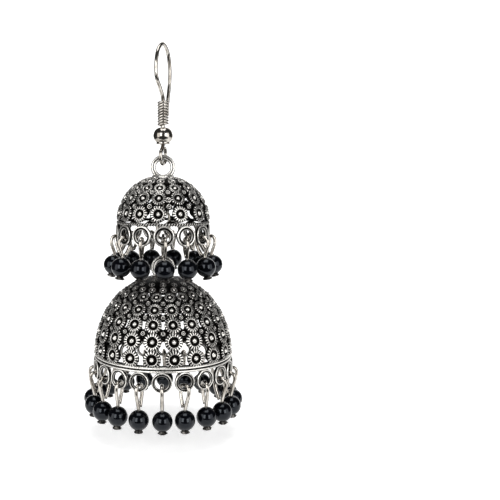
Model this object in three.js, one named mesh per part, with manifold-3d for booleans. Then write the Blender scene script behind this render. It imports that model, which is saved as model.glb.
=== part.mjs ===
// A two-tier jhumka earring: a hooked ear wire with a coil and a ball, a small pierced bell,
// a large pierced bell hung under it on three links, and a round of black bead drops on each bell.
// Millimetres, +Z up, the front towards -Y. The origin is where the ear wire sits in the ear.
import * as THREE from 'three'
import { mergeVertices } from 'three/addons/utils/BufferGeometryUtils.js'
import Module from 'manifold-3d'

const wasm = await Module()
wasm.setup()

// Driving dimensions
const earWire = 0.7 // wire of the ear hook
const hookReach = 3.5 // from the earring's axis to the middle of either leg of the hook
const hookLegDrop = 13.2 // how far the back leg comes down below the ear
const hookYaw = -22.5 // degrees that the plane of the hook and its eye is turned from front to back
const ballWidth = 3.9
const ballHeight = 3.3
const ballHole = 1.15 // bore of the ball, around the ear wire
const ballTop = -15.7
const coilWidth = 2.34
const coilWire = 0.5
const coilPitch = 0.55
const coilTurns = 8.6
const eyeWidth = 2.5 // the ear wire's eye, measured between wire middles
const eyeGap = 0.3 // between that eye and the small bell's ring
const runningGap = 0.16 // between other pieces that hang in or lie on each other

const bailOuter = 2.45 // outer radius of the ring on top of each bell
const bailHole = 1.43
const bailDepth = 0.85
const bailFoot = 2.1 // radius of the foot that the ring stands on
const bailRise = 1.52 // height of the ring's middle over the top of the bell
const bailSink = 0.7 // how far the foot goes down into the bell
const bailFlare = 0.6 // how much wider the foot is at its bottom
const bailStep = 0.1 // how far the foot stands up over the top of the bell

const smallRadius = 8.9
const smallHeight = 9.25
const smallWall = 0.6
const smallApex = -25.0
const smallColumns = [-75, -52.5, -30, -6, 21.5, 51, 78, 104, 130, 156, 182, 208, 234, 259.5]
const smallLoops = 13
const smallLoopBearing = 1

const largeRadius = 13.45
const largeHeight = 15.8
const largeWall = 0.7
const largeApex = -44.9
const largeColumnCount = 20
const largeLoops = 20
const largeLoopBearing = -1

const rimWire = 0.64 // rope at the foot of the small bell
const rimBand = 1.25 // height of the grooved band at the foot of the large bell
const lip = 0.42 // how far that band stands out of the wall
const reliefHeight = 0.35 // how far each rosette stands out of the wall
const bossHeight = 0.62 // a rosette's raised face as a share of its row's height
const bossWaist = 0.82 // and its half width there as a share of half, at its middle
const bossEnd = 0.42 // and at its top and bottom
const bossPeak = 1.3 // the rosette's middle as a multiple of reliefHeight
const loopDepth = 0.75
const loopSink = 0.15 // how far each rim ring is let into the rim

const linkWire = 0.6
const linkCount = 3
const linkWidth = 2.4 // between wire middles
const innerEyeRadius = 1.15 // eye soldered under the top of the small bell, at wire middle
const innerEyeDrop = 0.1 // how far that eye's wire middle stays below the wall

const dropWire = 0.62
const dropEyeHalf = 1.15 // half the width of a drop's eye, at wire middle
const dropGap = 0.3 // between a drop's eye and the ring that it hangs in
const beadRadius = 1.93
const capRadius = 0.78
const capHeight = 0.5

// Rows of rosettes from the rim up. low, middle and high are shares of the bell's height.
// half is the rosette's half width in mm, and neck that of the rib below it. A null means that
// the wall is whole there, from one column of rosettes to the next.
const smallRows = [
  { low: 0, middle: 0.2, high: 0.37, neck: null, half: 1.57, whole: false },
  { low: 0.37, middle: 0.52, high: 0.635, neck: 1.3, half: 1.35, whole: false },
  { low: 0.635, middle: 0.727, high: 0.81, neck: 0.9, half: 1.15, whole: true },
]
const largeRows = [
  { low: 0, middle: 0.112, high: 0.215, neck: null, half: 1.74, whole: false },
  { low: 0.215, middle: 0.315, high: 0.41, neck: 0.8, half: 1.74, whole: false },
  { low: 0.41, middle: 0.5, high: 0.585, neck: 0.75, half: 1.6, whole: false },
  { low: 0.585, middle: 0.66, high: 0.73, neck: 0.7, half: 1.42, whole: true },
  { low: 0.73, middle: 0.795, high: 0.85, neck: null, half: 1.08, whole: true },
]

// From the top of a drop's eye to the middle of its bead, and the degrees that it hangs outward
const smallHang = { length: 5.8, lean: 10.5 }
const largeHang = { length: 6.55, lean: 5.5 }

// How the drops hang round each bell, from the front one to the right: yaw turns a drop's eye
// about its own shank, and sway moves its bead sideways, both in degrees.
const smallDrops = [
  { yaw: 14, sway: -1 }, { yaw: -12, sway: 2 }, { yaw: 8, sway: 1 }, { yaw: 5, sway: 0 },
  { yaw: 0, sway: 0 }, { yaw: 9, sway: 1 }, { yaw: -8, sway: -1 }, { yaw: 6, sway: 1 },
  { yaw: 0, sway: 0 }, { yaw: -6, sway: 0 }, { yaw: -5, sway: 0 }, { yaw: -9, sway: -1 },
  { yaw: 16, sway: -2 },
]
const largeDrops = [
  { yaw: 0, sway: -1 }, { yaw: 24, sway: 1 }, { yaw: -14, sway: 0 }, { yaw: 5, sway: 0 },
  { yaw: 0, sway: 0 }, { yaw: -6, sway: 0 }, { yaw: 8, sway: 1 }, { yaw: -4, sway: 0 },
  { yaw: 6, sway: -1 }, { yaw: 0, sway: 0 }, { yaw: 9, sway: 1 }, { yaw: -7, sway: 0 },
  { yaw: 4, sway: 0 }, { yaw: -8, sway: -1 }, { yaw: 0, sway: 0 }, { yaw: 7, sway: 0 },
  { yaw: -6, sway: 0 }, { yaw: 8, sway: 0 }, { yaw: 12, sway: 0 }, { yaw: -8, sway: -1 },
]

// The ear wire from its eye up. out is a share of half the eye's width in the eye's tables and of
// hookReach in the rest. z is in mm from the bottom of the ball for eyeRight and eyeLeft, from the
// bottom of the eye for eyeFoot, from the top of the coil for frontLeg, from the place in the ear
// for hookBend, and from the back end of the wire for backLeg.
const eyeRight = [{ out: 0.6, z: -0.55 }, { out: 1, z: -1.7 }]
const eyeFoot = [{ out: 0.85, z: 0.55 }, { out: 0.4, z: 0.03 }]
const eyeLeft = [{ out: -1, z: -1.7 }, { out: -0.2, z: -0.5 }, { out: 0, z: 0.1 }]
const frontLeg = [{ out: 0, z: 0.1 }, { out: -0.45, z: 2.2 }]
const hookBend = [
  { out: -0.92, z: -6.4 }, { out: -1, z: -4 }, { out: -0.7, z: -1.05 }, { out: 0, z: earWire / 2 },
  { out: 0.7, z: -1.05 }, { out: 1, z: -4 }, { out: 0.97, z: -6.6 },
]
const backLeg = [{ out: 0.72, z: 3.2 }, { out: 0.6, z: 1 }, { out: 0.64, z: 0 }]

// A drop's wire from its bead up, round its eye and back to the shank. out is a share of dropEyeHalf.
// z is measured in mm from the top of the bead for the shank, and from the top of the eye for the rest.
const shankUp = [{ out: 0, z: -1.2 }, { out: -0.09, z: 0.15 }]
const eyeOver = [
  { out: -1, z: -1.5 }, { out: -0.88, z: -0.38 }, { out: 0, z: 0.05 },
  { out: 0.88, z: -0.38 }, { out: 1, z: -1.5 },
]
const shankEnd = [{ out: 0.43, z: 0.4 }]

// Facets
const ringSides = 10
const bailSides = 12
const beadSides = 10
const beadLatitudes = [42, -10, -60]
const ballStations = [-0.93, -0.45, 0.45, 0.93] // shares of the ball's half height
const coilSteps = 5.5 // to a turn
const wireSides = 5

const silver = { color: 0xb4b0a8, roughness: 0.28, metalness: 1 }
const oxidised = { color: 0x8d8a84, roughness: 0.38, metalness: 1 }
const glassBlack = { color: 0x08080c, roughness: 0.08, metalness: 0 }

const turn = THREE.MathUtils.degToRad

// Positions alone, with shared corners merged
function welded(geometry) {
  geometry.deleteAttribute('normal')
  geometry.deleteAttribute('uv')
  return mergeVertices(geometry, 1e-5)
}

function solid(geometry) {
  const mesh = welded(geometry)
  return new wasm.Manifold(new wasm.Mesh({
    numProp: 3,
    vertProperties: new Float32Array(mesh.attributes.position.array),
    triVerts: new Uint32Array(mesh.index.array),
  }))
}

function shape(manifold) {
  const mesh = manifold.getMesh()
  const geometry = new THREE.BufferGeometry()
  geometry.setAttribute('position', new THREE.Float32BufferAttribute(mesh.vertProperties, 3))
  geometry.setIndex(new THREE.BufferAttribute(mesh.triVerts, 1))
  return geometry
}

function joined(geometries) {
  return shape(geometries.map(solid).reduce((whole, next) => whole.add(next)))
}

// A regular polygon that a wire of this width is swept from
function wireSection(width, sides) {
  const corners = []
  for (let i = 0; i < sides; i++) {
    const angle = (2 * Math.PI * i) / sides
    corners.push(new THREE.Vector2(Math.cos(angle) * width / 2, Math.sin(angle) * width / 2))
  }
  return new THREE.Shape(corners)
}

// A wire swept along a curve, in equal steps of the curve's own parameter
function wire(curve, width, steps, sides = wireSides) {
  curve.getUtoTmapping = (share) => share
  const options = { steps, extrudePath: curve, bevelEnabled: false }
  return new THREE.ExtrudeGeometry(wireSection(width, sides), options)
}

// A body turned about +Z from [radius, height] pairs that start and end on the axis
function turned(profile, segments) {
  const points = profile.map(([r, z]) => new THREE.Vector2(r, z))
  return new THREE.LatheGeometry(points, segments).rotateX(Math.PI / 2)
}

// A ring with a closed section of [radius, height] pairs, about +Z
function ring(section, segments) {
  return turned([...section, section[0]], segments)
}

// A ring that stands upright and faces the front, with its outer edge drawn in to a ridge
function uprightRing(outer, hole, depth, segments) {
  const section = [[hole, -depth / 2], [outer, 0], [hole, depth / 2]]
  return ring(section, segments).rotateX(Math.PI / 2)
}

// Points in the YZ plane from a table of out and z
function through(table, reach, level) {
  return table.map(({ out, z }) => new THREE.Vector3(0, out * reach, level + z))
}

// A closed loop of wire through points in the XZ plane
function closedWire(points, width, sides) {
  const positions = []
  const index = []
  const count = points.length
  for (let i = 0; i < count; i++) {
    const before = points[(i + count - 1) % count]
    const after = points[(i + 1) % count]
    const out = new THREE.Vector2(after.y - before.y, before.x - after.x).normalize()
    for (let k = 0; k < sides; k++) {
      const angle = (2 * Math.PI * k) / sides
      const side = Math.cos(angle) * width / 2
      positions.push(points[i].x + out.x * side, Math.sin(angle) * width / 2, points[i].y + out.y * side)
      const next = (i + 1) % count
      const a = i * sides + k
      const b = i * sides + (k + 1) % sides
      const c = next * sides + (k + 1) % sides
      const d = next * sides + k
      index.push(a, b, c, a, c, d)
    }
  }
  const geometry = new THREE.BufferGeometry()
  geometry.setAttribute('position', new THREE.Float32BufferAttribute(positions, 3))
  geometry.setIndex(index)
  return geometry
}

// An upright oval of wire with straight sides
function ovalWire(halfWidth, halfHeight, width, arcSteps, sides) {
  const points = []
  const rise = halfHeight - halfWidth
  for (const [middle, from] of [[rise, 0], [-rise, Math.PI]]) {
    for (let i = 0; i <= arcSteps; i++) {
      const angle = from + (Math.PI * i) / arcSteps
      points.push(new THREE.Vector2(Math.cos(angle) * halfWidth, middle + Math.sin(angle) * halfWidth))
    }
  }
  return closedWire(points, width, sides)
}

// The wall of a bell, with its rosettes raised and the gaps between their columns cut through
function pierced(bell) {
  const positions = []
  const index = []
  const { radius, height, wall, rimZ, columns, rows } = bell
  const count = columns.length

  function out(share) {
    return Math.sqrt(1 - share * share)
  }
  function corner(share, bearing, inner, lift = 0) {
    const wide = out(share)
    const lean = Math.atan2(share * radius, wide * height)
    const shrink = inner ? wall : 0
    const r = wide * (radius - shrink) + lift * Math.cos(lean)
    const z = rimZ + share * (height - shrink) + lift * Math.sin(lean)
    positions.push(r * Math.sin(turn(bearing)), -r * Math.cos(turn(bearing)), z)
    return positions.length / 3 - 1
  }
  function face(...corners) {
    for (let i = 1; i + 1 < corners.length; i++) index.push(corners[0], corners[i], corners[i + 1])
  }
  // The bearing of a column's edge: halfway to the next column where the wall is whole
  function edge(column, side, share, half) {
    const here = columns[column]
    const next = columns[(column + side + count) % count]
    const gap = ((((next - here) * side) % 360) + 360) % 360
    const reach = half === null ? gap / 2 : THREE.MathUtils.radToDeg(half / (out(share) * radius))
    return here + side * Math.min(reach, gap / 2)
  }

  for (let column = 0; column < count; column++) {
    rows.forEach((row, at) => {
      const neckAbove = at + 1 < rows.length ? rows[at + 1].neck : null
      const levels = [
        { share: row.low, half: row.neck },
        { share: row.middle, half: row.whole ? null : row.half },
        { share: row.high, half: neckAbove },
      ]
      const outline = [[0, -1], [0, 1], [1, 1], [2, 1], [2, -1], [1, -1]]
      const outer = outline.map(([level, side]) => {
        const { share, half } = levels[level]
        return corner(share, edge(column, side, share, half), false)
      })
      const inner = outline.map(([level, side]) => {
        const { share, half } = levels[level]
        return corner(share, edge(column, side, share, half), true)
      })
      // The rosette is a six-sided boss with a raised middle
      const raised = outline.map(([level, side]) => {
        const share = row.middle + (levels[level].share - row.middle) * bossHeight
        const half = row.half * (level === 1 ? bossWaist : bossEnd)
        const bearing = columns[column] + side * THREE.MathUtils.radToDeg(half / (out(share) * radius))
        return corner(share, bearing, false, reliefHeight)
      })
      const middle = corner(row.middle, columns[column], false, reliefHeight * bossPeak)
      for (let k = 0; k < 6; k++) {
        const next = (k + 1) % 6
        face(outer[k], outer[next], raised[next], raised[k])
        face(raised[k], raised[next], middle)
      }
      face(inner[5], inner[2], inner[1], inner[0])
      face(inner[4], inner[3], inner[2], inner[5])
      // Walls of the gaps on either side
      for (const [a, b, low, high] of [[1, 2, 0, 1], [2, 3, 1, 2], [4, 5, 2, 1], [5, 0, 1, 0]]) {
        if (levels[low].half !== null || levels[high].half !== null) {
          face(outer[b], outer[a], inner[a], inner[b])
        }
      }
    })
  }

  // The whole crown above the last row, and the foot below the first
  const top = rows[rows.length - 1].high
  const crown = (top + 1) / 2
  const shares = [top, crown]
  const apex = [height, height - wall].map((z) => positions.push(0, 0, rimZ + z) / 3 - 1)
  for (let column = 0; column < count; column++) {
    const sides = [edge(column, -1, 0, null), edge(column, 1, 0, null)]
    const [outer, inner] = [false, true].map((within) => (
      shares.map((share) => sides.map((b) => corner(share, b, within)))
    ))
    face(outer[0][0], outer[0][1], outer[1][1], outer[1][0])
    face(outer[1][0], outer[1][1], apex[0])
    face(inner[0][1], inner[0][0], inner[1][0], inner[1][1])
    face(inner[1][1], inner[1][0], apex[1])
    const foot = sides.map((b) => [corner(0, b, false), corner(0, b, true)])
    face(foot[0][0], foot[0][1], foot[1][1], foot[1][0])
  }
  const geometry = new THREE.BufferGeometry()
  geometry.setAttribute('position', new THREE.Float32BufferAttribute(positions, 3))
  geometry.setIndex(index)
  return mergeVertices(geometry, 1e-4)
}

// The ring on top of a bell, with its foot
function bail(apexZ) {
  const standing = uprightRing(bailOuter, bailHole, bailDepth, bailSides).translate(0, 0, apexZ + bailRise)
  const foot = turned([
    [0, -bailSink], [bailFoot + bailFlare, -bailSink], [bailFoot, bailStep], [0, bailStep],
  ], bailSides)
  return [standing, foot.translate(0, 0, apexZ)]
}

// The row of small rings under a rim
function rimLoops(count, firstBearing, { circle, z, outer, hole }) {
  const loops = []
  for (let i = 0; i < count; i++) {
    const bearing = turn(firstBearing + (360 * i) / count)
    const ring = uprightRing(outer, hole, loopDepth, ringSides)
    loops.push(ring.translate(0, -circle, z).rotateZ(bearing))
  }
  return loops
}

const smallRimZ = smallApex - smallHeight
const largeRimZ = largeApex - largeHeight

// How far the flats of a faceted hole stand from its middle
function clear(hole, sides) {
  return hole * Math.cos(Math.PI / sides)
}

// Rings under the small bell hang from the rope, and those under the large bell from its band
const smallLoop = { outer: 2.02, hole: 1.14, circle: smallRadius }
smallLoop.z = smallRimZ - rimWire / 2 - smallLoop.outer + loopSink
const largeLoop = { outer: 1.93, hole: 1.26, circle: largeRadius + 0.15 }
largeLoop.z = largeRimZ - rimBand / 2 - largeLoop.outer + loopSink

const innerEyeZ = smallApex - smallWall - innerEyeRadius - innerEyeDrop
const innerEyeHole = innerEyeRadius - linkWire / 2

function smallBell() {
  const wallPiece = pierced({
    radius: smallRadius, height: smallHeight, wall: smallWall, rimZ: smallRimZ,
    columns: smallColumns, rows: smallRows,
  })
  const half = rimWire / 2
  const rope = ring([
    [smallRadius - smallWall, -half], [smallRadius + half, -half * 0.6], [smallRadius + half, half * 0.6],
    [smallRadius - smallWall, half],
  ], 2 * smallLoops).translate(0, 0, smallRimZ)
  const innerEye = ring([
    [innerEyeHole, 0], [innerEyeRadius, -linkWire / 2],
    [innerEyeRadius + linkWire / 2, 0], [innerEyeRadius, linkWire / 2],
  ], ringSides).rotateX(Math.PI / 2).translate(0, 0, innerEyeZ)
  return joined([
    wallPiece, rope, innerEye, ...bail(smallApex),
    ...rimLoops(smallLoops, smallLoopBearing, smallLoop),
  ])
}

function largeBell() {
  const columns = []
  for (let i = 0; i < largeColumnCount; i++) columns.push((i + 0.5) * 360 / largeColumnCount)
  const wallPiece = pierced({
    radius: largeRadius, height: largeHeight, wall: largeWall, rimZ: largeRimZ,
    columns, rows: largeRows,
  })
  const half = rimBand / 2
  const band = ring([
    [largeRadius - largeWall, -half], [largeRadius + lip, -half], [largeRadius + lip, -half * 0.2],
    [largeRadius + lip / 2, 0], [largeRadius + lip * 0.9, half * 0.2], [largeRadius + lip * 0.9, half],
    [largeRadius - largeWall, half],
  ], largeColumnCount).translate(0, 0, largeRimZ)
  return joined([
    wallPiece, band, ...bail(largeApex),
    ...rimLoops(largeLoops, largeLoopBearing, largeLoop),
  ])
}

// A bead on its wire, hanging by an open eye whose top is at the origin. The eye lies in the YZ plane
// and the shank is its front leg.
function bead(length) {
  const beadTop = beadRadius - length
  const route = [
    ...through(shankUp, dropEyeHalf, beadTop), ...through(eyeOver, dropEyeHalf, 0),
    ...through(shankEnd, dropEyeHalf, beadTop),
  ]
  const eye = new THREE.CatmullRomCurve3(route, false, 'centripetal')
  const profile = [[0, beadRadius]]
  for (const angle of beadLatitudes) {
    profile.push([beadRadius * Math.cos(turn(angle)), beadRadius * Math.sin(turn(angle))])
  }
  profile.push([capRadius, -beadRadius - capHeight], [0, -beadRadius - capHeight])
  const ball = turned(profile.reverse(), beadSides).translate(0, 0, -length)
  return joined([ball, wire(eye, dropWire, route.length - 1)])
}

// The drops of one bell, each hung in its ring
function drops(name, loop, firstBearing, { length, lean }, table) {
  const group = new THREE.Group()
  const pattern = bead(length)
  table.forEach(({ yaw, sway }, i) => {
    const mesh = new THREE.Mesh(pattern, new THREE.MeshStandardMaterial(glassBlack))
    mesh.name = `${name}_drop_${String(i + 1).padStart(2, '0')}`
    const hung = new THREE.Group()
    hung.add(mesh)
    mesh.rotation.set(0, 0, turn(yaw))
    hung.rotation.set(-turn(lean), turn(sway), 0)
    hung.position.set(0, -loop.circle, loop.z - clear(loop.hole, ringSides) + dropGap + dropWire / 2)
    const placed = new THREE.Group()
    placed.rotation.z = turn(firstBearing + (360 * i) / table.length)
    placed.add(hung)
    group.add(placed)
  })
  return group
}

// The ear wire: its eye, the stem through ball and coil, and the hook. It lies in the YZ plane.
const eyeBottomZ = smallApex + bailRise + clear(bailHole, bailSides) - eyeGap - earWire / 2
const ballBottom = ballTop - ballHeight
const coilTop = ballTop + runningGap + coilTurns * coilPitch + coilWire
function earHook() {
  const half = eyeWidth / 2
  const route = [
    ...through(eyeRight, half, ballBottom), ...through(eyeFoot, half, eyeBottomZ),
    ...through(eyeFoot, -half, eyeBottomZ).reverse(), ...through(eyeLeft, half, ballBottom),
    new THREE.Vector3(0, 0, ballTop), ...through(frontLeg, hookReach, coilTop),
    ...through(hookBend, hookReach, 0), ...through(backLeg, hookReach, -hookLegDrop),
  ]
  const curve = new THREE.CatmullRomCurve3(route, false, 'centripetal')
  return wire(curve, earWire, 2 * (route.length - 1))
}

// The wound wire over the ball
class Coil extends THREE.Curve {
  getPoint(t, point = new THREE.Vector3()) {
    const angle = 2 * Math.PI * coilTurns * t
    const r = (coilWidth - coilWire) / 2
    const foot = ballTop + runningGap + coilWire / 2
    return point.set(r * Math.cos(angle), r * Math.sin(angle), foot + coilPitch * coilTurns * t)
  }
}

function ball() {
  const points = []
  for (const rise of ballStations) {
    points.push([ballWidth / 2 * (1 - 0.5 * rise ** 4), ballHeight / 2 * rise])
  }
  return ring([[ballHole / 2, -ballHeight / 2], ...points, [ballHole / 2, ballHeight / 2]], ringSides)
    .translate(0, 0, ballTop - ballHeight / 2)
}

function named(name, geometry, finish) {
  const mesh = new THREE.Mesh(geometry, new THREE.MeshStandardMaterial(finish))
  mesh.name = name
  return mesh
}

const earring = new THREE.Group()

const earWireParts = new THREE.Group()
earWireParts.rotation.z = turn(hookYaw)
earWireParts.add(named('ear_hook', earHook(), silver))
earring.add(earWireParts)
earring.add(named('hook_coil', wire(new Coil(), coilWire, Math.round(coilTurns * coilSteps), 4), silver))
earring.add(named('hook_ball', ball(), silver))
earring.add(named('small_bell', smallBell(), oxidised))
earring.add(named('large_bell', largeBell(), oxidised))
earring.add(drops('small', smallLoop, smallLoopBearing, smallHang, smallDrops))
earring.add(drops('large', largeLoop, largeLoopBearing, largeHang, largeDrops))

// Links between the bells, each a quarter turn from the one above
const linkTopZ = innerEyeZ - clear(innerEyeHole, ringSides) + runningGap + linkWire / 2
const linkFootZ = largeApex + bailRise + clear(bailHole, bailSides) - runningGap - linkWire / 2
const linkNest = linkWire + runningGap
const linkSpan = (linkTopZ - linkFootZ + (linkCount - 1) * linkNest) / linkCount
for (let i = 0; i < linkCount; i++) {
  const link = named(`link_${i + 1}`, ovalWire(linkWidth / 2, linkSpan / 2, linkWire, 4, wireSides), silver)
  link.rotation.z = i % 2 ? 0 : Math.PI / 2
  link.position.z = linkTopZ - linkSpan / 2 - i * (linkSpan - linkNest)
  earring.add(link)
}

export default earring
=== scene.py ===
# %% [markdown]
# # A two-tier jhumka earring
# The earring hangs in one frame with its solids: metres, +Z up, the front towards -Y, and the
# origin where the wire rests in the ear. Sizes of the earring are in millimetres here and are scaled
# once, when a piece is finished. The camera, floor and lights are placed in metres.

# %%
import math
import random

import bmesh
import bpy
from mathutils import Matrix, Vector


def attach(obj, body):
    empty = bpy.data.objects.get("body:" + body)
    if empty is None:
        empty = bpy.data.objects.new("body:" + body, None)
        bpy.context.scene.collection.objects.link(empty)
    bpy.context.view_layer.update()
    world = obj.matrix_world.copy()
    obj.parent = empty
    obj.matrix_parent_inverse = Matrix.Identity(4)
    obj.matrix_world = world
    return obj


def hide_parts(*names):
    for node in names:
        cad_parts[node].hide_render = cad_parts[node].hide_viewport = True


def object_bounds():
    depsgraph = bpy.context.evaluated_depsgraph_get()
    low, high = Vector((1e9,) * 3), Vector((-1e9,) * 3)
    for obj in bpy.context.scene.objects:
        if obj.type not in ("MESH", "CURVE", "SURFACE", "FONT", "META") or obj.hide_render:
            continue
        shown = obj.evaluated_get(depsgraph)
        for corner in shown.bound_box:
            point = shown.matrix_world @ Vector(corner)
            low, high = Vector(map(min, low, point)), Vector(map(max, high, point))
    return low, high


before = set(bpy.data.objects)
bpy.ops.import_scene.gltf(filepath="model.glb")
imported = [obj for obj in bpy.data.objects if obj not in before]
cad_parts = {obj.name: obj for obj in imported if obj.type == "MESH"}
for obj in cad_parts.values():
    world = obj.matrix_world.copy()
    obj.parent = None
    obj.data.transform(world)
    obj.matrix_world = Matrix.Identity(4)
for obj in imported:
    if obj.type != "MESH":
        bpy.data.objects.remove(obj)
solid_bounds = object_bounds()
MM = 0.001
random.seed(7)


def rounded(point):
    return tuple(round(v, 4) for v in point)


print("solids from", rounded(solid_bounds[0]), "to", rounded(solid_bounds[1]))

# %% [markdown]
# ## Sizes
# These repeat the driving sizes of the solids, and add how far the scene's wires differ from them.

# %%
EAR_WIRE, EAR_WIRE_GROWN = 0.7, 1.06
HOOK_REACH, HOOK_LEG_DROP, HOOK_YAW = 3.5, 13.2, -22.5
BALL_HEIGHT, BALL_TOP = 3.3, -15.7
COIL_WIDTH, COIL_WIRE, COIL_PITCH, COIL_TURNS = 2.34, 0.5, 0.55, 8.6
COIL_WIRE_SHRUNK = 0.93
EYE_WIDTH, EYE_GAP, RUNNING_GAP = 2.5, 0.3, 0.16
BAIL_OUTER, BAIL_HOLE, BAIL_DEPTH, BAIL_RISE, BAIL_SIDES = 2.45, 1.43, 0.85, 1.52, 12
LINK_WIRE, LINK_COUNT, LINK_WIDTH, INNER_EYE, INNER_EYE_DROP = 0.6, 3, 2.4, 1.15, 0.1
DROP_WIRE, DROP_WIRE_GROWN, DROP_EYE_HALF, DROP_GAP = 0.62, 1.12, 1.15, 0.3
BEAD, CAP, CAP_HEIGHT = 1.93, 0.78, 0.5
LOOP_DEPTH, LOOP_SINK, RING_SIDES = 0.75, 0.15, 10


def clear(hole, sides):
    """How far the flats of a faceted hole stand from its middle."""
    return hole * math.cos(math.pi / sides)


# edge is from the middle of the rim down to its lower edge. columns are the bearings of the upright
# rows of rosettes. length is from the top of a drop's eye to the middle of its bead, and lean is how
# far the drops hang outward, in degrees.
SMALL = dict(
    body="upper_tier", radius=8.9, height=9.25, wall=0.6, apex=-25.0, edge=0.32,
    columns=[-75, -52.5, -30, -6, 21.5, 51, 78, 104, 130, 156, 182, 208, 234, 259.5],
    loops=13, loop_bearing=1, loop_outer=2.02, loop_hole=1.14, loop_circle=8.9, length=5.8, lean=10.5,
)
SMALL["rim"] = SMALL["apex"] - SMALL["height"]
SMALL["loop_z"] = SMALL["rim"] - SMALL["edge"] - SMALL["loop_outer"] + LOOP_SINK
LARGE_COLUMN = 18  # degrees from one column of rosettes to the next
LARGE = dict(
    body="lower_tier", radius=13.45, height=15.8, wall=0.7, apex=-44.9, edge=0.625,
    columns=[(i + 0.5) * LARGE_COLUMN for i in range(20)],
    loops=20, loop_bearing=-1, loop_outer=1.93, loop_hole=1.26, loop_circle=13.6, length=6.55, lean=5.5,
)
LARGE["rim"] = LARGE["apex"] - LARGE["height"]
LARGE["loop_z"] = LARGE["rim"] - LARGE["edge"] - LARGE["loop_outer"] + LOOP_SINK

# yaw turns a drop's eye about its shank and sway moves its bead sideways, in degrees
SMALL["hang"] = [
    (14, -1), (-12, 2), (8, 1), (5, 0), (0, 0), (9, 1), (-8, -1), (6, 1), (0, 0), (-6, 0),
    (-5, 0), (-9, -1), (16, -2),
]
LARGE["hang"] = [
    (0, -1), (24, 1), (-14, 0), (5, 0), (0, 0), (-6, 0), (8, 1), (-4, 0), (6, -1), (0, 0),
    (9, 1), (-7, 0), (4, 0), (-8, -1), (0, 0), (7, 0), (-6, 0), (8, 0), (12, 0), (-8, -1),
]
print("small rim", SMALL["rim"], "large rim", round(LARGE["rim"], 2))

# %% [markdown]
# ## Camera
# The photograph is taken from straight ahead, level with the top of the small bell, so the rims are
# seen a little from above. The earring hangs left of the middle of the picture.

# %%
CAMERA_AWAY, CAMERA_Z = 0.1443, -0.0247
CAMERA_TILT = 6  # degrees down
SENSOR, LENS_SHARE = 36, 1.453  # millimetres, and the focal length as a share of them
PHOTO_WIDTH, EARRING_X = 500, 163.1  # pixels
camera_data = bpy.data.cameras.new("camera")
camera = bpy.data.objects.new("camera", camera_data)
bpy.context.scene.collection.objects.link(camera)
bpy.context.scene.camera = camera
camera.location = (0, -CAMERA_AWAY, CAMERA_Z)
camera.rotation_euler = (math.radians(90 - CAMERA_TILT), 0, 0)
camera_data.sensor_width = SENSOR
camera_data.lens = SENSOR * LENS_SHARE
camera_data.shift_x = (PHOTO_WIDTH / 2 - EARRING_X) / PHOTO_WIDTH
camera_data.clip_start, camera_data.clip_end = 0.01, 10
print("camera at", rounded(camera.location), "lens", round(camera_data.lens, 1))

# %% [markdown]
# ## Materials
# A small class wraps shader sockets so that shader maths reads as arithmetic.

# %%
class Value:
    """A shader socket, with arithmetic on it, other sockets and numbers."""

    def __init__(self, tree, source):
        self.tree, self.source = tree, source

    def _math(self, operation, *others):
        node = self.tree.nodes.new("ShaderNodeMath")
        node.operation = operation
        for slot, item in enumerate([self, *others]):
            item = item.source if isinstance(item, Value) else item
            if isinstance(item, (int, float)):
                node.inputs[slot].default_value = item
            else:
                self.tree.links.new(item, node.inputs[slot])
        return Value(self.tree, node.outputs[0])

    def __add__(self, other):
        return self._math("ADD", other)

    def __sub__(self, other):
        return self._math("SUBTRACT", other)

    def __mul__(self, other):
        return self._math("MULTIPLY", other)

    def limited(self):
        return self._math("MINIMUM", 1.0)._math("MAXIMUM", 0.0)

    def into(self, socket):
        self.tree.links.new(self.source, socket)


NOISE_ROUGHNESS = 0.55
GRAIN_DEPTH = 0.00004  # metres, of the finest unevenness


class Shader:
    """A new material and its main shader."""

    def __init__(self, name, **constants):
        self.material = bpy.data.materials.new(name)
        self.material.use_nodes = True
        self.tree = self.material.node_tree
        self.main = self.tree.nodes["Principled BSDF"]
        for key, value in constants.items():
            self.main.inputs[key.replace("_", " ")].default_value = value

    def noise(self, scale, detail=3.0):
        place = self.tree.nodes.new("ShaderNodeTexCoord")
        node = self.tree.nodes.new("ShaderNodeTexNoise")
        node.inputs["Scale"].default_value = scale
        node.inputs["Detail"].default_value = detail
        node.inputs["Roughness"].default_value = NOISE_ROUGHNESS
        self.tree.links.new(place.outputs["Object"], node.inputs["Vector"])
        return Value(self.tree, node.outputs["Fac"])

    def attribute(self, name):
        node = self.tree.nodes.new("ShaderNodeAttribute")
        node.attribute_name = name
        return Value(self.tree, node.outputs["Fac"])

    def colour(self, share, low, high):
        """Mix two colours. Inputs 6 and 7 and output 2 are the node's colour sockets."""
        node = self.tree.nodes.new("ShaderNodeMix")
        node.data_type = "RGBA"
        node.inputs[6].default_value = (*low, 1)
        node.inputs[7].default_value = (*high, 1)
        share.into(node.inputs[0])
        return Value(self.tree, node.outputs[2])

    def bump(self, height, strength):
        node = self.tree.nodes.new("ShaderNodeBump")
        node.inputs["Strength"].default_value = strength
        node.inputs["Distance"].default_value = GRAIN_DEPTH
        height.into(node.inputs["Height"])
        Value(self.tree, node.outputs["Normal"]).into(self.main.inputs["Normal"])


# %%
def silver_wire():
    """Bright drawn wire with faint tarnish."""
    s = Shader("bright_silver", Metallic=1.0)
    tarnish = (s.noise(420) * 2.2 - 0.75).limited()
    s.colour(tarnish, (0.64, 0.61, 0.565), (0.17, 0.145, 0.115)).into(s.main.inputs["Base Color"])
    (s.noise(900) * 0.12 + 0.08).into(s.main.inputs["Roughness"])
    s.bump(s.noise(2600, 2), 0.12)
    return s.material


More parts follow.
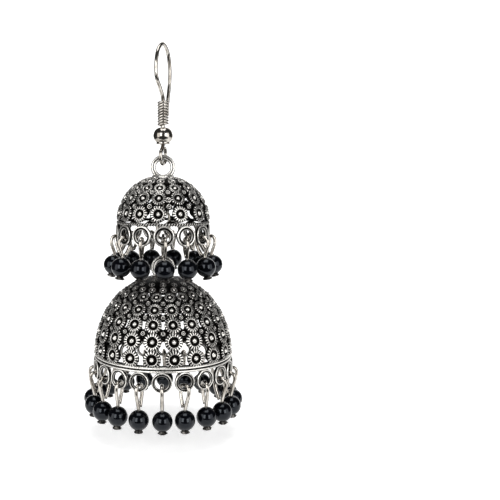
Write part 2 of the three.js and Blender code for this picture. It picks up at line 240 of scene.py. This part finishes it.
def oxidised_silver():
    """Cast silver, blackened where the casting is low, rubbed bright where it is high, and darkened as
    painted shade along the edges of its rings.
    """
    s = Shader("oxidised_silver", Specular_IOR_Level=0.2)
    low = s.attribute("low")
    patches = s.noise(650, 4)
    # From `low`: real blackening in the hollows, and painted shade along the ring edges
    patina_and_painted_shade = ((low - 0.25) * 4.0 + (patches - 0.5) * 0.4).limited()
    s.colour(patina_and_painted_shade, (0.82, 0.80, 0.76), (0.004, 0.0035, 0.003)).into(s.main.inputs["Base Color"])
    (patina_and_painted_shade * 0.16 + 0.82).into(s.main.inputs["Metallic"])
    (patina_and_painted_shade * 0.2 + s.noise(1500) * 0.16 + 0.18).into(s.main.inputs["Roughness"])
    s.bump(s.noise(1500, 2), 0.08)
    return s.material


def black_bead():
    """Glossy black bead, very slightly blue, with faint fine speckle."""
    s = Shader("black_bead", Specular_IOR_Level=0.32, Specular_Tint=(0.84, 0.91, 1.0, 1.0))
    speckle = (s.noise(1800, 2) * 2.2 - 0.9).limited()
    s.colour(speckle, (0.001, 0.0012, 0.002), (0.003, 0.0036, 0.006)).into(s.main.inputs["Base Color"])
    (s.noise(500) * 0.06 + 0.05).into(s.main.inputs["Roughness"])
    s.bump(s.noise(700, 2), 0.05)
    return s.material


def cap_metal():
    """The blackened end cap of a drop."""
    s = Shader("end_cap", Metallic=0.9)
    bright = (s.noise(1600, 3) * 2.4 - 1.05).limited()
    s.colour(bright, (0.02, 0.019, 0.018), (0.42, 0.40, 0.37)).into(s.main.inputs["Base Color"])
    (s.noise(2100) * 0.2 + 0.22).into(s.main.inputs["Roughness"])
    return s.material


SILVER, CAST, BLACK, ENDS = silver_wire(), oxidised_silver(), black_bead(), cap_metal()
print("materials:", [m.name for m in (SILVER, CAST, BLACK, ENDS)])

# %% [markdown]
# ## Helpers for meshes
# Every piece is first made in millimetres. A vertex layer called `low` says how dark each place is:
# blackened in the hollows of the casting, and painted shade along the edges of the rings.

# %%
WELD = 1e-4  # millimetres


class Work:
    """A mesh in the making, in millimetres."""

    def __init__(self):
        self.bm = bmesh.new()
        self.low = self.bm.verts.layers.float.new("low")

    def add(self, other, matrix=Matrix.Identity(4)):
        """Take in a copy of another mesh at a place."""
        copy = bpy.data.meshes.new("part")
        other.bm.to_mesh(copy)
        copy.transform(matrix)
        self.bm.from_mesh(copy)
        bpy.data.meshes.remove(copy)
        return self

    def piece(self, name, body, nodes, slot, materials):
        """Finish the mesh as a piece of the earring."""
        bmesh.ops.remove_doubles(self.bm, verts=self.bm.verts, dist=WELD)
        bmesh.ops.recalc_face_normals(self.bm, faces=self.bm.faces)
        bmesh.ops.scale(self.bm, vec=(MM, MM, MM), verts=self.bm.verts)
        for face in self.bm.faces:
            face.smooth = True
        mesh = bpy.data.meshes.new(name)
        self.bm.to_mesh(mesh)
        self.bm.free()
        for material in materials:
            mesh.materials.append(material)
        obj = bpy.data.objects.new(name, mesh)
        bpy.context.scene.collection.objects.link(obj)
        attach(obj, body)
        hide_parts(*nodes)
        print(name, len(mesh.polygons), "faces")


def turned(profile, steps, closed=False):
    """A body turned about +Z from (radius, height, low) rows."""
    work = Work()
    verts = []
    for r, z, low in profile:
        vert = work.bm.verts.new((r, 0, z))
        vert[work.low] = low
        verts.append(vert)
    pairs = list(zip(verts, verts[1:])) + ([(verts[-1], verts[0])] if closed else [])
    edges = [work.bm.edges.new(pair) for pair in pairs]
    bmesh.ops.spin(
        work.bm, geom=verts + edges, cent=(0, 0, 0), axis=(0, 0, 1), dvec=(0, 0, 0),
        angle=2 * math.pi, steps=steps, use_merge=True,
    )
    bmesh.ops.remove_doubles(work.bm, verts=work.bm.verts, dist=WELD)
    bmesh.ops.recalc_face_normals(work.bm, faces=work.bm.faces)
    return work


def tube(points, width, sides, closed=False):
    """Round wire along points, with flat ends where it is open."""
    curve = bpy.data.curves.new("wire", "CURVE")
    curve.dimensions = "3D"
    curve.bevel_depth = width / 2
    curve.bevel_resolution = max(0, sides // 2 - 2)
    curve.use_fill_caps = not closed
    spline = curve.splines.new("POLY")
    spline.points.add(len(points) - 1)
    for target, point in zip(spline.points, points):
        target.co = (*point, 1)
    spline.use_cyclic_u = closed
    holder = bpy.data.objects.new("wire", curve)
    mesh = bpy.data.meshes.new_from_object(holder)
    work = Work()
    work.bm.from_mesh(mesh)
    bpy.data.objects.remove(holder)
    bpy.data.curves.remove(curve)
    bpy.data.meshes.remove(mesh)
    return work


def smooth_path(points, per):
    """A centripetal Catmull-Rom curve through points, with the given steps in each part."""
    points = [Vector(p) for p in points]
    ends = [points[0] * 2 - points[1], *points, points[-1] * 2 - points[-2]]
    path = []
    for i in range(len(points) - 1):
        p = ends[i:i + 4]
        t = [0.0]
        for a, b in zip(p, p[1:]):
            t.append(t[-1] + max((b - a).length, 1e-6) ** 0.5)
        for k in range(per):
            u = t[1] + (t[2] - t[1]) * k / per
            a = [(p[j] * (t[j + 1] - u) + p[j + 1] * (u - t[j])) / (t[j + 1] - t[j]) for j in range(3)]
            b = [(a[j] * (t[j + 2] - u) + a[j + 1] * (u - t[j])) / (t[j + 2] - t[j]) for j in range(2)]
            path.append((b[0] * (t[2] - u) + b[1] * (u - t[1])) / (t[2] - t[1]))
    return path + [points[-1]]


def moved(x, y, z):
    return Matrix.Translation((x, y, z))


def spun(degrees, axis="Z"):
    return Matrix.Rotation(math.radians(degrees), 4, axis)


# %% [markdown]
# ## The ear wire
# One wire makes the hook, runs down through the coil and the ball, and bends into the eye.

# %%
ball_bottom = BALL_TOP - BALL_HEIGHT
coil_top = BALL_TOP + RUNNING_GAP + COIL_TURNS * COIL_PITCH + COIL_WIRE
eye_z = SMALL["apex"] + BAIL_RISE + clear(BAIL_HOLE, BAIL_SIDES) - EYE_GAP - EAR_WIRE / 2
half = EYE_WIDTH / 2
# (distance behind the earring's axis, height), from the eye's open end up to the end behind the coil
hook_route = [
    (half * 0.6, ball_bottom - 0.55), (half, ball_bottom - 1.7), (half * 0.85, eye_z + 0.55),
    (half * 0.4, eye_z + 0.03), (-half * 0.4, eye_z + 0.03), (-half * 0.85, eye_z + 0.55),
    (-half, ball_bottom - 1.7), (-half * 0.2, ball_bottom - 0.5), (0, ball_bottom + 0.1), (0, BALL_TOP),
    (0, coil_top + 0.1), (-HOOK_REACH * 0.45, coil_top + 2.2),
    (-HOOK_REACH * 0.92, -6.4), (-HOOK_REACH, -4), (-HOOK_REACH * 0.7, -1.05), (0, EAR_WIRE / 2),
    (HOOK_REACH * 0.7, -1.05), (HOOK_REACH, -4), (HOOK_REACH * 0.97, -6.6),
    (HOOK_REACH * 0.72, -HOOK_LEG_DROP + 3.2), (HOOK_REACH * 0.6, -HOOK_LEG_DROP + 1),
    (HOOK_REACH * 0.64, -HOOK_LEG_DROP),
]
hook_path = smooth_path([(0, y, z) for y, z in hook_route], per=7)
hook = Work().add(tube(hook_path, EAR_WIRE * EAR_WIRE_GROWN, sides=12), spun(HOOK_YAW))
hook.piece("ear_wire", "ear_wire", ["ear_hook"], "bright_silver", [SILVER])

# %%
# Whole turns, so that both ends of the coil lie at the back
coil_turns, coil_steps = math.ceil(COIL_TURNS), 26
coil_foot = BALL_TOP + RUNNING_GAP + COIL_WIRE / 2
coil_points = []
for i in range(coil_turns * coil_steps + 1):
    angle = math.pi / 2 + math.tau * i / coil_steps
    r = (COIL_WIDTH - COIL_WIRE) / 2
    rise = COIL_PITCH * COIL_TURNS * i / (coil_turns * coil_steps)
    coil_points.append((r * math.cos(angle), r * math.sin(angle), coil_foot + rise))
coil = tube(coil_points, COIL_WIRE * COIL_WIRE_SHRUNK, sides=10)
coil.piece("coil", "ear_wire", ["hook_coil"], "bright_silver", [SILVER])

# %%
# (radius, height as a share of BALL_HEIGHT)
ball_profile = [
    (0.575, -0.5), (1.15, -0.5), (1.33, -0.47), (1.36, -0.42), (1.26, -0.385), (1.46, -0.33),
    (1.76, -0.21), (1.92, -0.08), (1.95, 0.03), (1.88, 0.17), (1.68, 0.31), (1.38, 0.42),
    (1.0, 0.485), (0.575, 0.5),
]
ball_turned = turned([(r, z * BALL_HEIGHT, 0) for r, z in ball_profile], steps=36, closed=True)
ball = Work().add(ball_turned, moved(0, 0, BALL_TOP - BALL_HEIGHT / 2))
ball.piece("ball", "ear_wire", ["hook_ball"], "bright_silver", [SILVER])

# %% [markdown]
# ## Rosettes
# Each rosette is a plate with milled ribs round its edge, a black well and a bright boss in the middle.

# %%
RIBS_FROM, RIBS_TO = 0.64, 0.99  # of a rosette of radius 1
RIB_DEPTH = 0.17
ROSETTE_SINK = 0.08  # into the wall, so that no rosette floats


def rosette(rows, ribs):
    """A rosette of radius 1 that faces +Z, from (radius, height, low) rows, ribbed near its edge."""
    work = turned(rows, steps=2 * ribs)
    for vert in work.bm.verts:
        r = math.hypot(vert.co.x, vert.co.y)
        turn = math.atan2(vert.co.y, vert.co.x) / (2 * math.pi) * ribs
        between = abs(turn - round(turn)) > 0.25
        if r > RIBS_FROM and between:
            vert.co.z -= RIB_DEPTH if r < RIBS_TO else 0.0
            vert[work.low] = 1.0
    return work


ROSETTE = rosette([
    (0.0, 0.38, 0.0), (0.13, 0.35, 0.0), (0.22, 0.24, 0.0), (0.27, 0.08, 0.9), (0.50, 0.02, 1.0),
    (0.57, 0.12, 0.9), (0.61, 0.22, 0.0), (0.67, 0.25, 0.0), (0.82, 0.31, 0.0), (0.97, 0.20, 0.0),
    (1.0, -0.02, 0.9),
], ribs=18)
SMALL_ROSETTE = rosette([
    (0.0, 0.40, 0.0), (0.20, 0.30, 0.0), (0.28, 0.05, 1.0), (0.50, 0.05, 1.0), (0.60, 0.24, 0.0),
    (0.82, 0.31, 0.0), (1.0, -0.02, 0.7),
], ribs=12)


def scatter(work, bell, flowers):
    """Put a rosette on the wall at each (bearing, share, radius), a simpler one where it is small."""
    for bearing, share, size in flowers:
        pattern = ROSETTE if size > 1 else SMALL_ROSETTE
        place = bell.placed(bearing, share, size, -ROSETTE_SINK)
        work.add(pattern, place @ spun(random.uniform(0, 20)))


print("rosettes of", len(ROSETTE.bm.faces), "and", len(SMALL_ROSETTE.bm.faces), "faces")


class Bell:
    """The curve of a bell's wall: places on it, and outward directions."""

    def __init__(self, spec):
        self.spec = spec

    def out(self, share):
        return math.sqrt(max(0.0, 1 - share * share))

    def at(self, bearing, share, lift=0.0):
        """A point on the wall, at a bearing in degrees (0 front, 90 right) and a share of the height."""
        s = self.spec
        wide = self.out(share)
        b = math.radians(bearing)
        lean = self.lean(share)
        r = wide * s["radius"] + lift * math.cos(lean)
        z = s["rim"] + share * s["height"] + lift * math.sin(lean)
        return Vector((r * math.sin(b), -r * math.cos(b), z))

    def lean(self, share):
        """How far the wall's outward direction points up, in radians."""
        return math.atan2(share * self.spec["radius"], self.out(share) * self.spec["height"])

    def placed(self, bearing, share, size, lift):
        """The matrix that puts a unit rosette on the wall."""
        b = math.radians(bearing)
        lean = self.lean(share)
        normal = Vector((math.sin(b) * math.cos(lean), -math.cos(b) * math.cos(lean), math.sin(lean)))
        side = Vector((math.cos(b), math.sin(b), 0))
        turn = Matrix((side, normal.cross(side), normal)).transposed().to_4x4()
        return Matrix.Translation(self.at(bearing, share, lift)) @ turn @ Matrix.Scale(size, 4)


# %% [markdown]
# ## Pierced walls
# A bell's wall is kept behind its rosettes and in the webs between them, and open elsewhere.

# %%
WALL_TOP = 0.985  # share of the height, under the foot of the ring
WALL_PACKING = 1.15  # above 1 draws the levels together near the top
WALL_SINK = 0.02
SCENE_WALL = 0.8  # of the solid's wall
WALL_LOW = 0.86
RIM_BAND = 0.35  # the whole strip above the rim
FLOWER_REACH = 0.93  # so that the wall ends just inside a rosette's edge


def wall(bell, flowers, webs, columns_per_turn, levels, crown):
    """The bell's wall as a thin shell, open where no rosette or web covers it."""
    s = bell.spec
    shares = [WALL_TOP * (1 - (1 - level / levels) ** WALL_PACKING) for level in range(levels + 1)]
    side = [bell.at(90, share, -WALL_SINK) for share in shares]
    work = turned([(point.x, point.z, 0) for point in side], steps=columns_per_turn)
    centres = [(bell.at(b, h), size * FLOWER_REACH) for b, h, size in flowers]
    centres += [(bell.at(b, h), size) for b, h, size in webs]
    crown_z = s["rim"] + crown * s["height"]
    gone = []
    for face in work.bm.faces:
        c = face.calc_center_median()
        if c.z > crown_z or c.z < s["rim"] + RIM_BAND:
            continue
        if all((c - centre).length > reach for centre, reach in centres):
            gone.append(face)
    bmesh.ops.delete(work.bm, geom=gone, context="FACES")
    edge = [v for v in work.bm.verts if v.is_boundary]
    for _ in range(2):
        bmesh.ops.smooth_vert(
            work.bm, verts=edge, factor=0.5, use_axis_x=True, use_axis_y=True, use_axis_z=True)
    bmesh.ops.solidify(work.bm, geom=work.bm.faces, thickness=s["wall"] * SCENE_WALL)
    for vert in work.bm.verts:
        vert[work.low] = WALL_LOW
    return work


def bail(apex):
    """The ring on a bell, with two ridges and a groove, and its foot."""
    inner, middle, outer = BAIL_HOLE, (BAIL_OUTER + BAIL_HOLE) / 2, BAIL_OUTER
    d = BAIL_DEPTH / 2
    # The 0.5 rows at the hole's edge and the outer edge are painted shade along the ring's edges; the 1
    # in the groove is blackening in the hollow.
    back = [
        (inner + 0.08, -d * 0.7, 0.5), (inner + 0.24, -d, 0), (inner + 0.38, -d * 0.8, 0.2),
        (middle, -d * 0.5, 1),
        (outer - 0.40, -d * 0.8, 0.2), (outer - 0.24, -d, 0), (outer - 0.07, -d * 0.7, 0.5),
    ]
    front = [(r, -z, low) for r, z, low in reversed(back)]
    ring = turned([(inner, 0, 0.5), *back, (outer, 0, 0.5), *front], steps=40, closed=True)
    foot = turned([
        (0, -0.6, 0.5), (2.6, -0.7, 0.8), (2.55, -0.45, 0.2), (2.3, -0.28, 0), (2.2, -0.16, 0.9),
        (2.1, -0.04, 0.2), (1.9, 0.1, 0), (1.2, 0.1, 0.6), (0, 0.1, 0.8),
    ], steps=40)
    work = Work().add(ring, moved(0, 0, BAIL_RISE) @ spun(90, "X")).add(foot)
    return Work().add(work, moved(0, 0, apex))


def rim_loop(spec):
    """A ring under a rim: an outer ridge, a dark groove and an inner ridge, with painted shade along its
    edges.
    """
    o, h, d = spec["loop_outer"], spec["loop_hole"], LOOP_DEPTH / 2
    t = o - h
    # The rows of 0.3 to 0.6 at the hole's edge and the outer edge are painted shade along the ring's
    # edges; the rows of 1 are the blackened groove.
    rows = [
        (h, 0, 0.6), (h + 0.07 * t, -d * 0.6, 0.5), (h + 0.24 * t, -d * 0.92, 0),
        (h + 0.40 * t, -d * 0.6, 1), (h + 0.54 * t, -d * 0.58, 1), (h + 0.72 * t, -d, 0),
        (h + 0.90 * t, -d * 0.85, 0.2), (o, -d * 0.3, 0.6), (o, d * 0.3, 0.6),
        (h + 0.90 * t, d * 0.85, 0.2), (h + 0.72 * t, d, 0), (h + 0.46 * t, d * 0.58, 1),
        (h + 0.15 * t, d * 0.85, 0.3),
    ]
    return turned(rows, steps=30, closed=True)


def rim_loops(work, spec):
    pattern = rim_loop(spec)
    for i in range(spec["loops"]):
        turn = spun(spec["loop_bearing"] + 360 * i / spec["loops"])
        work.add(pattern, turn @ moved(0, -spec["loop_circle"], spec["loop_z"]) @ spun(90, "X"))


# %% [markdown]
# ## The small bell

# %%
def rows_at(bearings, rows):
    """Flowers or webs at each bearing, from (share of the height, radius) rows."""
    return [(bearing, share, size) for bearing in bearings for share, size in rows]


small = Bell(SMALL)
small_columns = SMALL["columns"]
small_next = [*small_columns[1:], small_columns[0] + 360]
small_gaps = [a + (b - a) / 2 for a, b in zip(small_columns, small_next)]
front_gap, front_gap_share = 7.5, 0.50  # the gap right of the front column has one rosette more

small_flowers = []
for row in [(0.212, 1.6), (0.525, 1.42), (0.727, 1.2), (0.862, 0.9)]:
    small_flowers += rows_at(small_columns, [row])
small_flowers += rows_at([i * 360 / 13 for i in range(13)], [(0.932, 0.74)])
small_flowers += [(front_gap, front_gap_share, 0.62)]
small_flowers += rows_at(small_gaps, [(0.655, 0.52), (0.37, 0.55)])
small_webs = [(front_gap, front_gap_share, 1.0)]
small_webs += rows_at(small_gaps, [(0.0, 0.8), (0.37, 0.8), (0.64, 1.0)])
work = wall(small, small_flowers, small_webs, columns_per_turn=168, levels=36, crown=0.80)
scatter(work, small, small_flowers)
work.add(bail(SMALL["apex"]))
rim_loops(work, SMALL)

# %%
# The rope of two strands round the rim, blackened where the strands meet
ROPE_RIDGES, ROPE_STRANDS, ROPE_STEPS = 108, 2, 6
ROPE_OUT, ROPE_REACH, STRAND_WIRE = 0.06, 0.16, 0.33
ROPE_BRIGHT_FROM, ROPE_FADE = 0.325, 0.06  # from the rope's middle line
rope_radius = SMALL["radius"] + ROPE_OUT
for strand in range(ROPE_STRANDS):
    path = []
    for i in range(ROPE_RIDGES * ROPE_STEPS):
        a = 2 * math.pi * i / (ROPE_RIDGES * ROPE_STEPS)
        twist = a * ROPE_RIDGES / ROPE_STRANDS + math.tau * strand / ROPE_STRANDS
        r = rope_radius + ROPE_REACH * math.cos(twist)
        path.append((r * math.cos(a), r * math.sin(a), SMALL["rim"] + ROPE_REACH * math.sin(twist)))
    strand_wire = tube(path, STRAND_WIRE, sides=6, closed=True)
    for vert in strand_wire.bm.verts:
        out = math.hypot(vert.co.x, vert.co.y) - rope_radius
        away = math.hypot(out, vert.co.z - SMALL["rim"])
        vert[strand_wire.low] = min(1.0, max(0.0, (ROPE_BRIGHT_FROM - away) / ROPE_FADE))
    work.add(strand_wire)
rope_back = [(8.3, -0.2, 0.9), (8.85, -0.2, 0.9), (8.85, 0.2, 0.9), (8.3, 0.2, 0.9)]
work.add(turned(rope_back, steps=84, closed=True), moved(0, 0, SMALL["rim"]))

# %%
# The eye inside the top, which the first link hangs in
inner_eye_z = SMALL["apex"] - SMALL["wall"] - INNER_EYE - INNER_EYE_DROP
turns = [math.tau * i / 24 for i in range(24)]
eye_points = [(INNER_EYE * math.cos(t), 0, INNER_EYE * math.sin(t)) for t in turns]
work.add(tube(eye_points, LINK_WIRE, sides=8, closed=True), moved(0, 0, inner_eye_z))
work.piece("small_bell_cast", "upper_tier", ["small_bell"], "oxidised_silver", [CAST])

# %% [markdown]
# ## The large bell

# %%
large = Bell(LARGE)
large_columns = LARGE["columns"]
large_gaps = [b + LARGE_COLUMN / 2 for b in large_columns]

large_flowers = []
for row in [(0.115, 1.74), (0.315, 1.74), (0.5, 1.6), (0.66, 1.42), (0.795, 1.10)]:
    large_flowers += rows_at(large_columns, [row])
large_flowers += rows_at(large_gaps, [(0.868, 0.80)])
large_flowers += rows_at([i * 360 / 15 for i in range(15)], [(0.918, 0.74)])
large_flowers += rows_at([i * 360 / 10 + LARGE_COLUMN / 2 for i in range(10)], [(0.962, 0.60)])
large_flowers += rows_at(large_gaps, [(0.735, 0.52), (0.585, 0.46), (0.41, 0.48)])
large_webs = rows_at(large_gaps, [(0.735, 0.85)])
large_webs += rows_at(large_columns, [(0.215, 0.62), (0.41, 0.62)])
large_webs += rows_at(large_gaps, [(0.41, 0.78), (0.585, 0.80)])
work = wall(large, large_flowers, large_webs, columns_per_turn=200, levels=52, crown=0.86)
scatter(work, large, large_flowers)
work.add(bail(LARGE["apex"]))
rim_loops(work, LARGE)
band = [
    (12.8, -0.62, 0.9), (13.65, -0.62, 0.7), (13.82, -0.5, 0.4), (13.87, -0.34, 0), (13.8, -0.2, 0.3),
    (13.6, -0.12, 1), (13.58, -0.02, 1), (13.74, 0.06, 0.3), (13.86, 0.2, 0), (13.84, 0.36, 0),
    (13.62, 0.50, 0.4), (13.35, 0.6, 1), (12.8, 0.6, 0.9),
]
work.add(turned(band, steps=120, closed=True), moved(0, 0, LARGE["rim"]))
work.piece("large_bell_cast", "lower_tier", ["large_bell"], "oxidised_silver", [CAST])

# %% [markdown]
# ## Links between the bells

# %%
link_top = inner_eye_z - clear(INNER_EYE - LINK_WIRE / 2, RING_SIDES) + RUNNING_GAP + LINK_WIRE / 2
link_foot = LARGE["apex"] + BAIL_RISE + clear(BAIL_HOLE, BAIL_SIDES) - RUNNING_GAP - LINK_WIRE / 2
nest = LINK_WIRE + RUNNING_GAP
LINK_BEND = 12  # steps in each round end
span = (link_top - link_foot + (LINK_COUNT - 1) * nest) / LINK_COUNT
for i in range(LINK_COUNT):
    points = []
    for end_z, start in [(span / 2 - LINK_WIDTH / 2, 0), (LINK_WIDTH / 2 - span / 2, math.pi)]:
        for k in range(LINK_BEND + 1):
            t = start + math.pi * k / LINK_BEND
            points.append((LINK_WIDTH / 2 * math.cos(t), 0, end_z + LINK_WIDTH / 2 * math.sin(t)))
    place = moved(0, 0, link_top - span / 2 - i * (span - nest)) @ spun(0 if i % 2 else 90)
    link = Work().add(tube(points, LINK_WIRE, sides=10, closed=True), place)
    link.piece(f"oval_link_{i + 1}", "upper_tier", [f"link_{i + 1}"], "bright_silver", [SILVER])

# %% [markdown]
# ## Bead drops

# %%
CAP_LOBES, CAP_LOBE, CAP_LOBES_BELOW = 6, 0.10, -0.1  # how many, their depth as a share, and their top


def drop(length):
    """A drop whose eye's top is at the origin: wire, round bead and lobed end cap."""
    top = BEAD - length
    route = [
        (0, top - 1.2), (-0.1, top + 0.15), (-DROP_EYE_HALF, -1.5), (-DROP_EYE_HALF * 0.88, -0.38),
        (0, 0.05), (DROP_EYE_HALF * 0.88, -0.38), (DROP_EYE_HALF, -1.5), (0.5, top + 0.4),
    ]
    wire_path = smooth_path([(0, y, z) for y, z in route], per=6)
    work = Work().add(tube(wire_path, DROP_WIRE * DROP_WIRE_GROWN, sides=10))
    bead = Work()
    bmesh.ops.create_uvsphere(bead.bm, u_segments=28, v_segments=16, radius=BEAD)
    for face in bead.bm.faces:
        face.material_index = 1
    work.add(bead, moved(0, 0, -length))
    cap = turned([
        (0, 0.25, 0), (CAP * 0.85, 0.2, 0), (CAP * 0.85, 0.0, 0), (CAP * 1.1, -CAP_HEIGHT * 0.3, 0),
        (CAP * 1.12, -CAP_HEIGHT * 0.6, 0), (CAP * 0.8, -CAP_HEIGHT, 0), (0, -CAP_HEIGHT * 0.8, 0),
    ], steps=24)
    for vert in cap.bm.verts:
        if vert.co.z < CAP_LOBES_BELOW:
            lobe = 1 + CAP_LOBE * math.cos(CAP_LOBES * math.atan2(vert.co.y, vert.co.x))
            vert.co.x *= lobe
            vert.co.y *= lobe
    for face in cap.bm.faces:
        face.material_index = 2
    return work.add(cap, moved(0, 0, -length - BEAD))


for tier, spec in (("small", SMALL), ("large", LARGE)):
    pattern = drop(spec["length"])
    hang_z = spec["loop_z"] - clear(spec["loop_hole"], RING_SIDES) + DROP_GAP + DROP_WIRE / 2
    for i, (yaw, sway) in enumerate(spec["hang"]):
        turn = spun(spec["loop_bearing"] + 360 * i / spec["loops"])
        lean = spun(-spec["lean"], "X") @ spun(sway, "Y") @ spun(yaw)
        hung = Work().add(pattern, turn @ moved(0, -spec["loop_circle"], hang_z) @ lean)
        name = f"{tier}_drop_{i + 1:02d}"
        hung.piece(f"{name}_hung", spec["body"], [name], "black_bead", [SILVER, BLACK, ENDS])

# %% [markdown]
# ## Floor and light
# A plain pale sweep stands behind and below, with large soft lights on both sides, as in a product
# studio. The sweep is narrow, so that the wires mirror the dark room at their edges.

# %%
FLOOR_BELOW = 0.004  # under the lowest bead
FLOOR_LEFT, FLOOR_WIDTH, FLOOR_FRONT = -0.105, 0.31, -0.035
SWEEP_START, SWEEP_RADIUS, SWEEP_STEPS, SWEEP_TOP = 0.10, 0.15, 12, 0.45

floor_mesh = bpy.data.meshes.new("floor")
bm = bmesh.new()
sweep = [(FLOOR_FRONT, 0.0), (SWEEP_START, 0.0)]
for k in range(1, SWEEP_STEPS + 1):
    a = math.pi / 2 * k / SWEEP_STEPS
    sweep.append((SWEEP_START + SWEEP_RADIUS * math.sin(a), SWEEP_RADIUS - SWEEP_RADIUS * math.cos(a)))
sweep.append((SWEEP_START + SWEEP_RADIUS, SWEEP_TOP))
line = [bm.verts.new((FLOOR_LEFT, y, z)) for y, z in sweep]
edges = [bm.edges.new(pair) for pair in zip(line, line[1:])]
grown = bmesh.ops.extrude_edge_only(bm, edges=edges)
far_side = [item for item in grown["geom"] if isinstance(item, bmesh.types.BMVert)]
bmesh.ops.translate(bm, vec=(FLOOR_WIDTH, 0, 0), verts=far_side)
for face in bm.faces:
    face.smooth = True
bm.to_mesh(floor_mesh)
bm.free()
floor = bpy.data.objects.new("floor", floor_mesh)
floor.location = (0, 0, solid_bounds[0].z - FLOOR_BELOW)
bpy.context.scene.collection.objects.link(floor)
pale = Shader("pale_floor", Roughness=0.9, Emission_Strength=0.56, Emission_Color=(1, 1, 1, 1))
floor_colour = pale.colour(pale.noise(3), (0.94, 0.94, 0.94), (0.97, 0.97, 0.97))
floor_colour.into(pale.main.inputs["Base Color"])
floor_mesh.materials.append(pale.material)
print("floor at", round(floor.location.z, 4))

# %%
ROOM_LIGHT = 0.05

world = bpy.data.worlds.new("studio")
bpy.context.scene.world = world
world.use_nodes = True
room = world.node_tree.nodes["Background"]
room.inputs["Color"].default_value = (1, 1, 1, 1)
room.inputs["Strength"].default_value = ROOM_LIGHT
bpy.context.scene.view_settings.view_transform = "Standard"


def soft_light(name, place, size, watts):
    """A large rectangular light that faces the middle of the earring."""
    data = bpy.data.lights.new(name, "AREA")
    data.shape = "RECTANGLE"
    data.size, data.size_y = size
    data.energy = watts
    light = bpy.data.objects.new(name, data)
    light.location = place
    light.rotation_euler = (EARRING_MIDDLE - Vector(place)).to_track_quat("-Z", "Y").to_euler()
    bpy.context.scene.collection.objects.link(light)
    print(name, watts, "W")


EARRING_MIDDLE = Vector((0, 0, -0.04))
soft_light("key_left", (-0.15, -0.30, 0.05), (0.14, 0.24), 0.48)
soft_light("key_right", (0.17, -0.28, 0.02), (0.12, 0.22), 0.38)
soft_light("top", (0, -0.03, 0.32), (0.24, 0.24), 0.60)
soft_light("side_left", (-0.27, -0.17, 0.0), (0.18, 0.30), 0.36)
soft_light("side_right", (0.27, -0.17, 0.0), (0.18, 0.30), 0.30)
